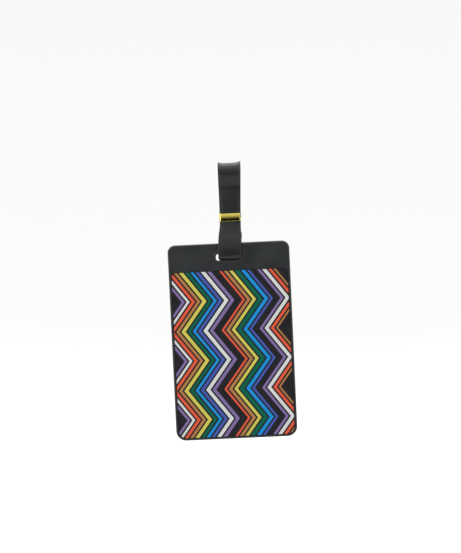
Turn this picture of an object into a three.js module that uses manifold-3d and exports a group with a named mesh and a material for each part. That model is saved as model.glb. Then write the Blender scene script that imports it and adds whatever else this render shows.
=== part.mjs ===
// A luggage tag that hangs by its strap.
//
// Two shells of soft PVC are welded round a printed sheet and its stiffener board. The back shell
// has a pocket with a clear window, and a paper card slides out of it sideways. A strip of PVC runs
// down the front, through the slot and up the back, where two pegs close it. Above them it opens
// into an eye for a bag's handle, and a gilt keeper slides along the closed stretch.
//
// Millimetres. x runs across the tag, y from its printed front (-) to its back (+), and z is up.
// The tag is drawn with z = 0 at its top edge and x = 0 down its middle. The whole group is moved
// at the end, so that the origin is where the eye hangs on a handle.

import * as THREE from "three";
import { mergeVertices } from "three/addons/utils/BufferGeometryUtils.js";
import Module from "manifold-3d";

const wasm = await Module();
wasm.setup();

// ---------- Driving dimensions ----------

// Tag
const tagWidth = 65;
const tagHeight = 105;
const topCornerRadius = 4;
const bottomCornerRadius = 5.3;
const shellThickness = 1.85;
const weldGap = 0.1; // between two pieces that are welded together
const edgeRound = 0.6;

// Printed sheet and the window that shows it
const bandHeight = 14.5; // plain band above the window
const sideRim = 1.2;
const bottomRim = 1;
const windowTopRadius = 3;
const windowBottomRadius = 4.3;
const printRecess = 0.3;
const printThickness = 0.4;
const printClearance = 0.2;
const boardThickness = 0.9;
const boardGap = 0.15;

// Card pocket at the back
const pocketBand = 16; // band above the clear window
const windowRim = 1.3;
const windowLedge = 1.5; // what the window is welded to, on three sides
const windowThickness = 0.35;
const windowSink = 0.05;
const windowClearance = 0.15;
const mouthSetback = 1; // from the tag's edge to the window's open side
const thumbNotchRadius = 7;
const pocketCornerRadius = 2;
const cardThickness = 0.3;
const cardGap = 0.2;
const cardClearance = 0.3;
const cardSetback = 1.3;
const cardCornerRadius = 2;

// Slot
const slotDepth = 7.5; // from the tag's top edge to the slot's middle
const slotPlay = 2.6; // how much wider it is than the strap
const slotHeight = 3.4;
const slotEndRadius = 1.2;
const slotFlare = 0.55; // it widens by this towards each face
const lipWidth = 0.8; // beyond the flare
const lipHeight = 0.3;

// Strap
const strapWidth = 11.2;
const strapThickness = 1.3;
const strapSlack = 0.2; // between the strap and the slot's lip
const strapOffset = 0.6; // from the tag's middle, at the slot
const strapLean = THREE.MathUtils.degToRad(2.2);
const slotBendDrop = 0.45; // bottom of the strip's middle line below the slot's middle
const slotBendRadius = 2;
const layerGap = 0.1;
const flexBottom = 1.5; // the stretch that bends when the tag swings
const flexLength = 9.5;
const hingeDrop = 0.2; // swing axis below the middle of that stretch
const hingeGapTop = 1.2; // the strap is parted from here
const hingeGapBottom = 3.3; // to here, below the axis
const closedLength = 17; // above it, where the layers lie on each other
const eyeHeight = 15;
const eyeWidth = 5.8;

// Closure and keeper
const flapLift = 0.6; // end of the upper flap above the flexing stretch
const pegRadius = 1.5;
const pegClearance = 0.25;
const pegSink = 0.05;
const pegSpacing = 5;
const topPegDrop = 3; // below the top of the closed stretch
const keeperHeight = 4.1;
const keeperWall = 0.3;
const keeperSideClearance = 0.15;
const keeperLayerClearance = 0.1;
const keeperCornerRadius = 0.55;
const keeperLift = 0.55; // above the flexing stretch

// ---------- Sizes that follow ----------

const frontFace = -(shellThickness + weldGap / 2);
const backFace = -frontFace;
const slotWidth = strapWidth + slotPlay;

const windowWidth = tagWidth - 2 * sideRim;
const windowBottom = -tagHeight + bottomRim;
const printFront = frontFace + printRecess;
const boardFront = printFront + printThickness + boardGap;

const filmFace = backFace - windowSink;
const filmInside = filmFace - windowThickness;
const ledgeFace = filmInside - weldGap;
const cardBack = filmInside - cardGap;
const pocketFloor = cardBack - cardThickness - cardGap;
const filmTop = -pocketBand;
const filmBottom = -tagHeight + windowRim;
const filmRight = tagWidth / 2 - windowRim;
const filmLeft = -tagWidth / 2 + mouthSetback;

const strapAtTag = backFace + lipHeight + strapSlack + strapThickness / 2;
const layerStep = strapThickness + layerGap;
const flexTop = flexBottom + flexLength;
const flexMiddle = flexBottom + flexLength / 2;
const hingeHeight = flexMiddle - hingeDrop;
const closedTop = flexTop + closedLength;
const eyeRadius = (eyeWidth + strapThickness) / 2;
const eyeCentre = closedTop + eyeHeight - strapThickness / 2 - eyeRadius;
const hangHeight = closedTop + eyeHeight - strapThickness;
const slotBend = -slotDepth - slotBendDrop;
const keeperPlace = flexTop + keeperLift + keeperHeight / 2;

const arcSteps = 10; // segments in each curved stretch of an outline
const edgeSteps = 3; // segments in a rounded edge
const barSides = 24;
const mergeDistance = 1e-4;
const past = 5; // how far a cutting block reaches past what it cuts
const reach = 100; // longer than any stretch of the strap

// ---------- Solids ----------

function solidOf(geometry) {
  const bare = geometry.clone();
  bare.deleteAttribute("normal");
  bare.deleteAttribute("uv");
  const merged = mergeVertices(bare, mergeDistance);
  const vertProperties = merged.attributes.position.array;
  const triVerts = new Uint32Array(merged.index.array);
  return new wasm.Manifold(new wasm.Mesh({ numProp: 3, vertProperties, triVerts }));
}

function geometryOf(solid) {
  const { vertProperties, triVerts } = solid.getMesh();
  const geometry = new THREE.BufferGeometry();
  geometry.setAttribute("position", new THREE.BufferAttribute(vertProperties, 3));
  geometry.setIndex(new THREE.BufferAttribute(triVerts, 1));
  geometry.computeVertexNormals();
  return geometry;
}

// A rectangle with its own corner radius at the top and at the bottom.
function roundedRectangle(left, right, bottom, top, bottomRadius, topRadius) {
  const quarter = Math.PI / 2;
  const outline = new THREE.Shape();
  outline.moveTo(left + bottomRadius, bottom);
  outline.absarc(right - bottomRadius, bottom + bottomRadius, bottomRadius, -quarter, 0, false);
  outline.absarc(right - topRadius, top - topRadius, topRadius, 0, quarter, false);
  outline.absarc(left + topRadius, top - topRadius, topRadius, quarter, 2 * quarter, false);
  const low = bottom + bottomRadius;
  outline.absarc(left + bottomRadius, low, bottomRadius, 2 * quarter, 3 * quarter, false);
  return outline;
}

// An outline drawn in (x, z), as a plate from yFront to yBack. A round takes its edges off, and
// with one step it is a chamfer.
function plate(outline, yFront, yBack, round = 0, roundSteps = edgeSteps) {
  const geometry = new THREE.ExtrudeGeometry(outline, {
    depth: yBack - yFront - 2 * round,
    curveSegments: arcSteps,
    bevelEnabled: round > 0,
    bevelThickness: round,
    bevelSize: round,
    bevelOffset: -round,
    bevelSegments: roundSteps,
  });
  geometry.rotateX(Math.PI / 2);
  geometry.translate(0, yBack - round, 0);
  return solidOf(geometry);
}

function block(left, right, yFront, yBack, bottom, top) {
  const geometry = new THREE.BoxGeometry(right - left, yBack - yFront, top - bottom);
  geometry.translate((left + right) / 2, (yFront + yBack) / 2, (bottom + top) / 2);
  return solidOf(geometry);
}

// A round bar along y.
function bar(radius, yFront, yBack, x, z) {
  const geometry = new THREE.CylinderGeometry(radius, radius, yBack - yFront, barSides);
  geometry.translate(x, (yFront + yBack) / 2, z);
  return solidOf(geometry);
}

// ---------- Tag ----------

const tagOutline = roundedRectangle(
  -tagWidth / 2,
  tagWidth / 2,
  -tagHeight,
  0,
  bottomCornerRadius,
  topCornerRadius,
);
const blank = plate(tagOutline, frontFace, backFace, edgeRound);

function slotOutline(grow) {
  const x = slotWidth / 2 + grow;
  const z = slotHeight / 2 + grow;
  const radius = slotEndRadius + grow;
  return roundedRectangle(-x, x, -slotDepth - z, -slotDepth + z, radius, radius);
}

// One half of the tag, with the slot cut through it and flared, and a raised lip round the slot.
function shell(yInside, yFace) {
  const outward = Math.sign(yFace);
  const yRoot = yFace - outward * edgeRound;
  const yLip = yFace + outward * lipHeight;
  const half = block(
    -tagWidth,
    tagWidth,
    Math.min(yInside, yFace + outward * past),
    Math.max(yInside, yFace + outward * past),
    -tagHeight - past,
    past,
  );
  const lipOutline = slotOutline(slotFlare + lipWidth);
  const lip = plate(lipOutline, Math.min(yRoot, yLip), Math.max(yRoot, yLip));
  const slot = plate(slotOutline(0), -past, past);
  const yNarrow = yLip - outward * slotFlare;
  const yWide = yFace + outward * past;
  const mouth = plate(
    slotOutline(slotFlare),
    Math.min(yNarrow, yWide),
    Math.max(yNarrow, yWide),
    slotFlare,
    1,
  );
  return blank.intersect(half).add(lip).subtract(slot).subtract(mouth);
}

function windowOutline(clearance) {
  return roundedRectangle(
    -windowWidth / 2 + clearance,
    windowWidth / 2 - clearance,
    windowBottom + clearance,
    -bandHeight - clearance,
    windowBottomRadius - clearance,
    windowTopRadius - clearance,
  );
}

function frontShell() {
  const opening = plate(windowOutline(0), -past, past);
  return shell(-weldGap / 2, frontFace).subtract(opening);
}

function printedSheet() {
  return plate(windowOutline(printClearance), printFront, printFront + printThickness);
}

function stiffenerBoard() {
  return plate(windowOutline(printClearance), boardFront, boardFront + boardThickness);
}

// A recess open at the tag's left edge, as large as the window less a rim on the other three sides.
function pocketOutline(rim) {
  const radius = pocketCornerRadius;
  return roundedRectangle(
    -tagWidth / 2 - past,
    filmRight - rim,
    filmBottom + rim,
    filmTop - rim,
    radius,
    radius,
  );
}

function backShell() {
  const windowSeat = plate(pocketOutline(0), ledgeFace, backFace + past);
  const pocket = plate(pocketOutline(windowLedge), pocketFloor, backFace + past);
  return shell(weldGap / 2, backFace).subtract(windowSeat).subtract(pocket);
}

function clearWindow() {
  const outline = roundedRectangle(
    filmLeft,
    filmRight - windowClearance,
    filmBottom + windowClearance,
    filmTop - windowClearance,
    pocketCornerRadius,
    pocketCornerRadius,
  );
  const notch = bar(thumbNotchRadius, -past, past, filmLeft, (filmTop + filmBottom) / 2);
  return plate(outline, filmInside, filmFace).subtract(notch);
}

function nameCard() {
  const edge = windowLedge + cardClearance;
  const outline = roundedRectangle(
    -tagWidth / 2 + cardSetback,
    filmRight - edge,
    filmBottom + edge,
    filmTop - edge,
    cardCornerRadius,
    cardCornerRadius,
  );
  return plate(outline, cardBack - cardThickness, cardBack);
}

// ---------- Strap ----------

// The strip round a line drawn in (y, z), as wide as the strap.
function strip(line) {
  const points = line.getPoints(arcSteps);
  const sideways = points.map((point, i) => {
    const before = points[Math.max(i - 1, 0)];
    const after = points[Math.min(i + 1, points.length - 1)];
    const along = after.clone().sub(before).normalize();
    return new THREE.Vector2(-along.y, along.x).multiplyScalar(strapThickness / 2);
  });
  const one = points.map((point, i) => point.clone().add(sideways[i]));
  const other = points.map((point, i) => point.clone().sub(sideways[i]));
  const outline = new THREE.Shape([...one, ...other.reverse()]);
  const geometry = new THREE.ExtrudeGeometry(outline, { depth: strapWidth, bevelEnabled: false });
  const acrossTheStrap = new THREE.Matrix4().makeBasis(
    new THREE.Vector3(0, 1, 0),
    new THREE.Vector3(0, 0, 1),
    new THREE.Vector3(1, 0, 0),
  );
  geometry.applyMatrix4(acrossTheStrap);
  geometry.translate(-strapWidth / 2, 0, 0);
  return solidOf(geometry);
}

function above(height) {
  return block(-strapWidth, strapWidth, -reach, reach, height, height + reach);
}

function below(height) {
  return block(-strapWidth, strapWidth, -reach, reach, height - reach, height);
}

const partTop = hingeHeight - hingeGapTop;
const partBottom = hingeHeight - hingeGapBottom;
const pegHeights = [closedTop - topPegDrop, closedTop - topPegDrop - pegSpacing];

// The bottom of the strap, from one side of the tag through the slot to the other.
function strapLoop() {
  const corner = strapAtTag - slotBendRadius;
  const quarter = Math.PI / 2;
  const line = new THREE.Path();
  line.moveTo(0, flexTop);
  line.bezierCurveTo(0, flexMiddle, strapAtTag, flexMiddle, strapAtTag, flexBottom);
  line.absarc(corner, slotBend + slotBendRadius, slotBendRadius, 0, -quarter, true);
  line.absarc(-corner, slotBend + slotBendRadius, slotBendRadius, -quarter, -2 * quarter, true);
  line.lineTo(-strapAtTag, flexBottom);
  line.bezierCurveTo(-strapAtTag, flexMiddle, -layerStep, flexMiddle, -layerStep, flexTop);
  return strip(line).intersect(below(partBottom));
}

// The front run, the eye and the upper flap, with the holes that the pegs go through.
function strapEye() {
  const shoulder = (closedTop + eyeCentre) / 2;
  const line = new THREE.Path();
  line.moveTo(-strapAtTag, flexBottom);
  line.bezierCurveTo(-strapAtTag, flexMiddle, -layerStep, flexMiddle, -layerStep, flexTop);
  line.lineTo(-layerStep, closedTop);
  line.bezierCurveTo(-layerStep, shoulder, -eyeRadius, shoulder, -eyeRadius, eyeCentre);
  line.absarc(0, eyeCentre, eyeRadius, Math.PI, 0, true);
  line.bezierCurveTo(eyeRadius, shoulder, layerStep, shoulder, layerStep, closedTop);
  line.lineTo(layerStep, flexTop + flapLift);
  let made = strip(line).intersect(above(partTop));
  for (const height of pegHeights)
    made = made.subtract(bar(pegRadius + pegClearance, layerStep / 2, 2 * layerStep, 0, height));
  return made;
}

// The lower end of the strip, between the front run and the flap, with its two pegs.
function strapTail() {
  const line = new THREE.Path();
  line.moveTo(strapAtTag, flexBottom);
  line.bezierCurveTo(strapAtTag, flexMiddle, 0, flexMiddle, 0, flexTop);
  line.lineTo(0, closedTop);
  const pegEnd = layerStep + strapThickness / 2 - pegSink;
  let made = strip(line).intersect(above(partTop));
  for (const height of pegHeights) made = made.add(bar(pegRadius, 0, pegEnd, 0, height));
  return made;
}

// A flat band bent round the three layers of the strap.
function keeperBand() {
  const x = strapWidth / 2 + keeperSideClearance;
  const y = layerStep + strapThickness / 2 + keeperLayerClearance;
  const inner = keeperCornerRadius - keeperWall;
  const outline = roundedRectangle(
    -x - keeperWall,
    x + keeperWall,
    -y - keeperWall,
    y + keeperWall,
    keeperCornerRadius,
    keeperCornerRadius,
  );
  outline.holes.push(roundedRectangle(-x, x, -y, y, inner, inner));
  const geometry = new THREE.ExtrudeGeometry(outline, {
    depth: keeperHeight,
    curveSegments: arcSteps,
    bevelEnabled: false,
  });
  geometry.translate(0, 0, -keeperHeight / 2);
  return solidOf(geometry);
}

// ---------- Materials and assembly ----------

const blackPvc = { color: 0x1c1f22, roughness: 0.38, metalness: 0 };
const strapPvc = { color: 0x17191c, roughness: 0.45, metalness: 0 };

function piece(name, solid, finish) {
  const mesh = new THREE.Mesh(geometryOf(solid), new THREE.MeshStandardMaterial(finish));
  mesh.name = name;
  return mesh;
}

const tag = new THREE.Group();
tag.add(
  piece("front_shell", frontShell(), blackPvc),
  piece("printed_sheet", printedSheet(), { color: 0xd8563a, roughness: 0.35, metalness: 0 }),
  piece("stiffener_board", stiffenerBoard(), { color: 0xb59a74, roughness: 0.9, metalness: 0 }),
  piece("back_shell", backShell(), blackPvc),
  piece("name_card", nameCard(), { color: 0xf2efe6, roughness: 0.85, metalness: 0 }),
  piece("clear_window", clearWindow(), { color: 0xe8f0f4, roughness: 0.08, metalness: 0 }),
);

// The strap leans about the slot's middle. Its pieces are drawn from the tag's top edge up.
const strap = new THREE.Group();
strap.position.z = slotDepth;
strap.add(
  piece("strap_eye", strapEye(), strapPvc),
  piece("strap_tail", strapTail(), strapPvc),
  piece("strap_loop", strapLoop(), strapPvc),
);
const leaningStrap = new THREE.Group();
leaningStrap.position.set(strapOffset, 0, -slotDepth);
leaningStrap.rotation.y = strapLean;
leaningStrap.add(strap);

// A point on the leaning strap's middle, at a height above the tag's top edge.
function onStrap(height) {
  const reach = height + slotDepth;
  const x = strapOffset + reach * Math.sin(strapLean);
  return new THREE.Vector3(x, 0, reach * Math.cos(strapLean) - slotDepth);
}

const keeper = piece("keeper", keeperBand(), { color: 0xd9b545, roughness: 0.18, metalness: 1 });
keeper.position.copy(onStrap(keeperPlace));

const luggageTag = new THREE.Group();
luggageTag.add(tag, leaningStrap, keeper);
luggageTag.position.copy(onStrap(hangHeight)).negate();

export default luggageTag;
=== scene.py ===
# %% [markdown]
# # A luggage tag, built round its design
#
# The tag is two shells of soft black PVC welded round a printed sheet. A flat PVC strap goes
# through a slot at its top, and a gilt keeper holds the strap's layers together. The design has
# been drawn already, as plain solids with the right sizes and joints. This lesson makes the
# surfaces: rounded edges, raised inks, a formed metal band, and a finish for each material.
#
# The first cell loads that design. Everything below is placed by asking it where its pieces are.

# %% Load the design
import math

import bmesh
import bpy
from mathutils import Matrix, Vector


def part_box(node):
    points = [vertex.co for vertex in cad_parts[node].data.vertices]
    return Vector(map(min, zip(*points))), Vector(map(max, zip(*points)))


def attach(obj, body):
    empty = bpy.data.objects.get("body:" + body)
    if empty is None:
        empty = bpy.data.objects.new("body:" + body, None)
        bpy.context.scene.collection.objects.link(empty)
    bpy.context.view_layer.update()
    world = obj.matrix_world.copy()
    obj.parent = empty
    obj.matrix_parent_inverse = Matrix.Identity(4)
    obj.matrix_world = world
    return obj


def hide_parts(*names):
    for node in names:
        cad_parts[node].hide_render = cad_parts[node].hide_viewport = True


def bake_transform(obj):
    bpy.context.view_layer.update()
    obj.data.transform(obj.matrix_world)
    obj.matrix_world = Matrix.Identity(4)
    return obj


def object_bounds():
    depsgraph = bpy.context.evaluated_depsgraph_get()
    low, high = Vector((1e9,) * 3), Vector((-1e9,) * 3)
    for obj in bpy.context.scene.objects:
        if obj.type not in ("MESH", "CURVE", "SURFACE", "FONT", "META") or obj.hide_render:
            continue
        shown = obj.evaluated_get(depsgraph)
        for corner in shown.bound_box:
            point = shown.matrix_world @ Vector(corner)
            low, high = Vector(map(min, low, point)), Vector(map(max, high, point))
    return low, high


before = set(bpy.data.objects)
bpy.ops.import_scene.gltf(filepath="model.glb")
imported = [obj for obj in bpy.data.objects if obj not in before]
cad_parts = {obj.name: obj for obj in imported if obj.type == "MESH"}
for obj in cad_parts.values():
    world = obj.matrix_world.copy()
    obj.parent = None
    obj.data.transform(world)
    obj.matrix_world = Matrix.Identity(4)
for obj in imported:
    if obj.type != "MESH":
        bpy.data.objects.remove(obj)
design_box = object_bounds()

MM = 0.001
scene = bpy.context.scene
print("pieces in the design:", sorted(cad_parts))

# %% [markdown]
# ## Where things are
#
# A maker measures from edges that can be touched. The tag's own edges come from its front shell,
# and the print's from the printed sheet. The remaining sizes are those of the design, in
# millimetres, each with a name.

# %% Measure the tag
shell_low, shell_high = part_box("front_shell")
back_low, back_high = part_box("back_shell")
sheet_low, sheet_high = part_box("printed_sheet")
film_low, film_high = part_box("clear_window")
card_low, card_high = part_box("name_card")

LIP_HEIGHT = 0.3 * MM
tag_left, tag_right = shell_low.x, shell_high.x
tag_bottom, tag_top = shell_low.z, shell_high.z
tag_middle = (tag_left + tag_right) / 2
front_face = shell_low.y + LIP_HEIGHT
back_face = back_high.y - LIP_HEIGHT
seam_front, seam_back = shell_high.y, back_low.y
print("tag width and height in mm:", (tag_right - tag_left) / MM, (tag_top - tag_bottom) / MM)

# %% Measure the slot
SLOT_DEPTH = 7.5 * MM
SLOT_WIDTH, SLOT_HEIGHT, SLOT_END_RADIUS = 13.8 * MM, 3.4 * MM, 1.2 * MM
SLOT_FLARE, LIP_WIDTH = 0.55 * MM, 0.8 * MM
slot_middle = Vector((tag_middle, 0, tag_top - SLOT_DEPTH))
print("middle of the slot:", slot_middle)

# %% [markdown]
# ## Helpers for moulded plates
#
# Nearly every part of a welded tag is a plate with rounded corners. One helper makes such a
# plate from a single square: its corners are beveled as vertices, which gives true arcs, and the
# face is then extruded to its thickness. One more helper cuts and joins plates with a Boolean
# modifier, which is applied at once, so that the next step works on plain geometry.

# %% Rounded plates
CORNER_STEPS = 14


def as_piece(bm, name):
    """Writes a bmesh into a new object, with its faces pointing outwards."""
    bmesh.ops.recalc_face_normals(bm, faces=bm.faces)
    mesh = bpy.data.meshes.new(name)
    bm.to_mesh(mesh)
    bm.free()
    piece = bpy.data.objects.new(name, mesh)
    scene.collection.objects.link(piece)
    return piece


def verts_of(items):
    """Only the vertices of what an operator made."""
    return [item for item in items if isinstance(item, bmesh.types.BMVert)]


def round_corners(bm, corners, radius):
    """Turns some corners of a flat face into arcs."""
    if radius > 0:
        bmesh.ops.bevel(
            bm, geom=corners, affect="VERTICES", offset=radius, offset_type="OFFSET",
            segments=CORNER_STEPS, profile=0.5, material=-1,
        )


def plate_bmesh(left, right, bottom, top, bottom_radius, top_radius, front, back):
    """A flat plate that faces -Y, as a bmesh."""
    bm = bmesh.new()
    made = bmesh.ops.create_grid(bm, x_segments=1, y_segments=1, size=0.5)
    stand_up = Matrix.Rotation(math.radians(90), 3, "X")
    bmesh.ops.rotate(bm, verts=made["verts"], cent=(0, 0, 0), matrix=stand_up)
    bmesh.ops.scale(bm, verts=bm.verts, vec=(right - left, 1, top - bottom))
    middle = Vector(((left + right) / 2, front, (bottom + top) / 2))
    bmesh.ops.translate(bm, verts=bm.verts, vec=middle)
    low = [v for v in bm.verts if v.co.z < middle.z]
    high = [v for v in bm.verts if v.co.z > middle.z]
    round_corners(bm, low, bottom_radius)
    high = [v for v in high if v.is_valid]
    round_corners(bm, high, top_radius)
    grown = bmesh.ops.extrude_face_region(bm, geom=bm.faces[:])
    bmesh.ops.translate(bm, verts=verts_of(grown["geom"]), vec=(0, back - front, 0))
    return bm


def rounded_plate(name, *sizes):
    return as_piece(plate_bmesh(*sizes), name)


# %% Cutting, joining and softening
def combine(piece, tool, operation):
    """Cuts tool from piece, joins it to piece, or keeps what they share. The tool is used up."""
    modifier = piece.modifiers.new("combine", "BOOLEAN")
    modifier.operation = operation
    modifier.solver = "EXACT"
    modifier.object = tool
    bpy.context.view_layer.objects.active = piece
    bpy.ops.object.modifier_apply(modifier=modifier.name)
    bpy.data.objects.remove(tool)
    return piece


MERGE_DISTANCE, NEAR = 0.002 * MM, 0.01 * MM
SHARP_ANGLE = math.radians(40)


def at_depth(depth):
    """A test that is true for places at one depth."""
    return lambda place: abs(place.y - depth) < NEAR


def soften(piece, width, steps, wanted):
    """Rounds the sharp edges of a piece whose middle point passes the test called wanted."""
    bm = bmesh.new()
    bm.from_mesh(piece.data)
    bmesh.ops.remove_doubles(bm, verts=bm.verts, dist=MERGE_DISTANCE)
    edges = [
        e for e in bm.edges
        if e.is_manifold and e.calc_face_angle(0) > SHARP_ANGLE
        and wanted((e.verts[0].co + e.verts[1].co) / 2)
    ]
    bmesh.ops.bevel(
        bm, geom=edges, affect="EDGES", offset=width, offset_type="OFFSET",
        segments=steps, profile=0.5, material=-1, clamp_overlap=True,
    )
    bm.to_mesh(piece.data)
    bm.free()
    print(piece.name, "edges rounded:", len(edges))
    return piece


def smooth(piece, angle=35):
    """Smooth shading with sharp corners kept, and flats that stay flat."""
    piece.data.shade_smooth()
    piece.data.set_sharp_from_angle(angle=math.radians(angle))
    flats = piece.modifiers.new("flats", "WEIGHTED_NORMAL")
    flats.keep_sharp = True
    return piece


# %% [markdown]
# ## Helpers for materials
#
# Each finish is a small tree of nodes. Two helpers keep them readable: one adds a node and sets
# its inputs by name, and the other starts a material with a Principled BSDF. Values that are the
# same all over go straight into the Principled node.

# %% Node helpers
def add(tree, kind, inputs=None, **settings):
    """Adds a node. An input's value is a number or colour to set, or a socket to link."""
    node = tree.nodes.new(kind)
    for key, value in settings.items():
        setattr(node, key, value)
    for key, value in (inputs or {}).items():
        if isinstance(value, bpy.types.NodeSocket):
            tree.links.new(value, node.inputs[key])
        else:
            node.inputs[key].default_value = value
    return node


def sum_of(tree, operation, *values):
    """The result of a Math node."""
    return add(tree, "ShaderNodeMath", dict(enumerate(values)), operation=operation).outputs[0]


def new_material(name, **plain):
    """A material with one Principled BSDF. Returns it, its tree, the shader and its coordinates."""
    material = bpy.data.materials.new(name)
    material.use_nodes = True
    tree = material.node_tree
    shader = tree.nodes["Principled BSDF"]
    for key, value in plain.items():
        shader.inputs[key.replace("_", " ")].default_value = value
    place = add(tree, "ShaderNodeTexCoord").outputs["Object"]
    return material, tree, shader, place


def new_group(name, inputs, outputs):
    """A shader node group with named sockets. Returns the group, its inputs and its output node."""
    group = bpy.data.node_groups.new(name, "ShaderNodeTree")
    for label, kind, value in inputs:
        socket = group.interface.new_socket(label, in_out="INPUT", socket_type=kind)
        if value is not None:
            socket.default_value = value
    for label, kind in outputs:
        group.interface.new_socket(label, in_out="OUTPUT", socket_type=kind)
    start = group.nodes.new("NodeGroupInput")
    end = group.nodes.new("NodeGroupOutput")
    return group, start.outputs, end


def use_group(tree, group, **inputs):
    node = tree.nodes.new("ShaderNodeGroup")
    node.node_tree = group
    for key, value in inputs.items():
        socket = node.inputs[key.replace("_", " ")]
        if isinstance(value, bpy.types.NodeSocket):
            tree.links.new(value, socket)
        else:
            socket.default_value = value
    return node.outputs


def ramp(tree, factor, low, high, from_value, to_value):
    """Maps a value from one range to another, held at both ends."""
    values = {
        "Value": factor, "From Min": low, "From Max": high,
        "To Min": from_value, "To Max": to_value,
    }
    return add(tree, "ShaderNodeMapRange", values, clamp=True).outputs["Result"]


def mix_colours(tree, factor, first, second):
    node = add(tree, "ShaderNodeMix", data_type="RGBA")
    for index, value in ((0, factor), (6, first), (7, second)):
        if isinstance(value, bpy.types.NodeSocket):
            tree.links.new(value, node.inputs[index])
        else:
            node.inputs[index].default_value = value
    return node.outputs[2]


def paint(piece, material):
    """Gives a piece its finish."""
    piece.data.materials.clear()
    piece.data.materials.append(material)
    return piece


# %% [markdown]
# ### Moulded grain
#
# Soft PVC is never mirror smooth. It has a very fine grain from the mould and larger soft
# patches where it was handled and pressed in its bag. Tag and strap both show it, so it is a
# group, with the grain's size and the patches' strength as inputs. It gives a roughness and a
# height, which each material puts to its own use.

# %% Group: moulded grain
def make_grain_group():
    group, given, end = new_group(
        "moulded grain",
        [
            ("Place", "NodeSocketVector", None),
            ("Grains per metre", "NodeSocketFloat", 3000.0),
            ("Roughness", "NodeSocketFloat", 0.4),
            ("Patchiness", "NodeSocketFloat", 0.1),
        ],
        [
            ("Roughness", "NodeSocketFloat"),
            ("Height", "NodeSocketFloat"),
            ("Patches", "NodeSocketFloat"),
        ],
    )
    grain = add(group, "ShaderNodeTexNoise", {
        "Vector": given["Place"], "Scale": given["Grains per metre"], "Detail": 3.0,
    })
    patches = add(group, "ShaderNodeTexNoise", {"Vector": given["Place"], "Scale": 55.0, "Detail": 4.0})
    spread = ramp(group, patches.outputs["Fac"], 0.35, 0.65, -0.5, 0.5)
    change = sum_of(group, "MULTIPLY", spread, given["Patchiness"])
    roughness = sum_of(group, "ADD", given["Roughness"], change)
    group.links.new(roughness, end.inputs["Roughness"])
    group.links.new(grain.outputs["Fac"], end.inputs["Height"])
    group.links.new(patches.outputs["Fac"], end.inputs["Patches"])
    return group


moulded_grain = make_grain_group()
print("group made:", moulded_grain.name)

# %% Black PVC, for the shells and for the strap
def make_pvc(name, colour, patch_colour, roughness, patchiness, grains, height):
    material, tree, shader, place = new_material(name, IOR=1.5, Specular_IOR_Level=0.5)
    out = use_group(
        tree, moulded_grain, Place=place, Grains_per_metre=grains,
        Roughness=roughness, Patchiness=patchiness,
    )
    mixed = mix_colours(tree, ramp(tree, out["Patches"], 0.4, 0.7, 0.0, 1.0), colour, patch_colour)
    tree.links.new(mixed, shader.inputs["Base Color"])
    tree.links.new(out["Roughness"], shader.inputs["Roughness"])
    bump = add(tree, "ShaderNodeBump", {"Height": out["Height"], "Strength": 0.35, "Distance": height})
    tree.links.new(bump.outputs["Normal"], shader.inputs["Normal"])
    return material


shell_pvc = make_pvc(
    "black tag PVC", (0.017, 0.020, 0.022, 1), (0.024, 0.027, 0.030, 1), 0.32, 0.12, 2600.0, 0.006 * MM,
)
strap_pvc = make_pvc(
    "black strap PVC", (0.010, 0.011, 0.012, 1), (0.016, 0.017, 0.018, 1), 0.3, 0.08, 3400.0, 0.006 * MM,
)
print("PVC finishes:", shell_pvc.name, "and", strap_pvc.name)

# %% [markdown]
# ## Front shell
#
# The front shell carries the plain band, the slot and the thin rim round the print. Its outer
# edge is rounded by the mould, and the window's edge is only just broken, so that it catches a
# thin line of light. The slot has a raised bead, because that is where the strap wears the tag.
# It could be one profile swept round the rim, but the band with its slot breaks that up, so a
# whole plate with openings cut in it is simpler and truer to the mould.

# %% Outlines shared by both shells
TOP_RADIUS, BOTTOM_RADIUS = 4 * MM, 5.3 * MM
EDGE_ROUND = 0.85 * MM
SEAM_ROUND = 0.12 * MM
BEAD_ROUND, BEAD_ROOT = 0.29 * MM, 0.5 * MM
WALL_REACH = 0.05 * MM
THROUGH = 6 * MM


def slot_plate(name, grow, front, back):
    """A plate of the slot's outline, or of one that is larger all round."""
    half_width = SLOT_WIDTH / 2 + grow
    half_height = SLOT_HEIGHT / 2 + grow
    radius = SLOT_END_RADIUS + grow
    return rounded_plate(
        name, slot_middle.x - half_width, slot_middle.x + half_width,
        slot_middle.z - half_height, slot_middle.z + half_height, radius, radius, front, back,
    )


def make_shell(name, face, seam):
    """One half of the tag: rounded outside, flat at the seam, with the slot's bead and hole."""
    outward = -1 if face < seam else 1
    shell = rounded_plate(
        name, tag_left, tag_right, tag_bottom, tag_top, BOTTOM_RADIUS, TOP_RADIUS,
        min(face, seam), max(face, seam),
    )
    soften(shell, EDGE_ROUND, 6, at_depth(face))
    soften(shell, SEAM_ROUND, 2, at_depth(seam))
    bead_top = face + outward * LIP_HEIGHT
    bead_root = face - outward * BEAD_ROOT
    bead_edge = SLOT_FLARE + LIP_WIDTH
    bead = slot_plate("bead", bead_edge, min(bead_top, bead_root), max(bead_top, bead_root))
    soften(bead, BEAD_ROUND, 4, at_depth(bead_top))
    combine(shell, bead, "UNION")
    combine(shell, slot_plate("slot", 0, -THROUGH, THROUGH), "DIFFERENCE")
    soften(shell, SLOT_FLARE, 6, lambda p: at_depth(bead_top)(p) and at_slot_wall(p))
    return shell


def at_slot_wall(place):
    """True close to the wall of the slot."""
    across = abs(place.x - slot_middle.x) < SLOT_WIDTH / 2 + WALL_REACH
    up = abs(place.z - slot_middle.z) < SLOT_HEIGHT / 2 + WALL_REACH
    return across and up


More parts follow.
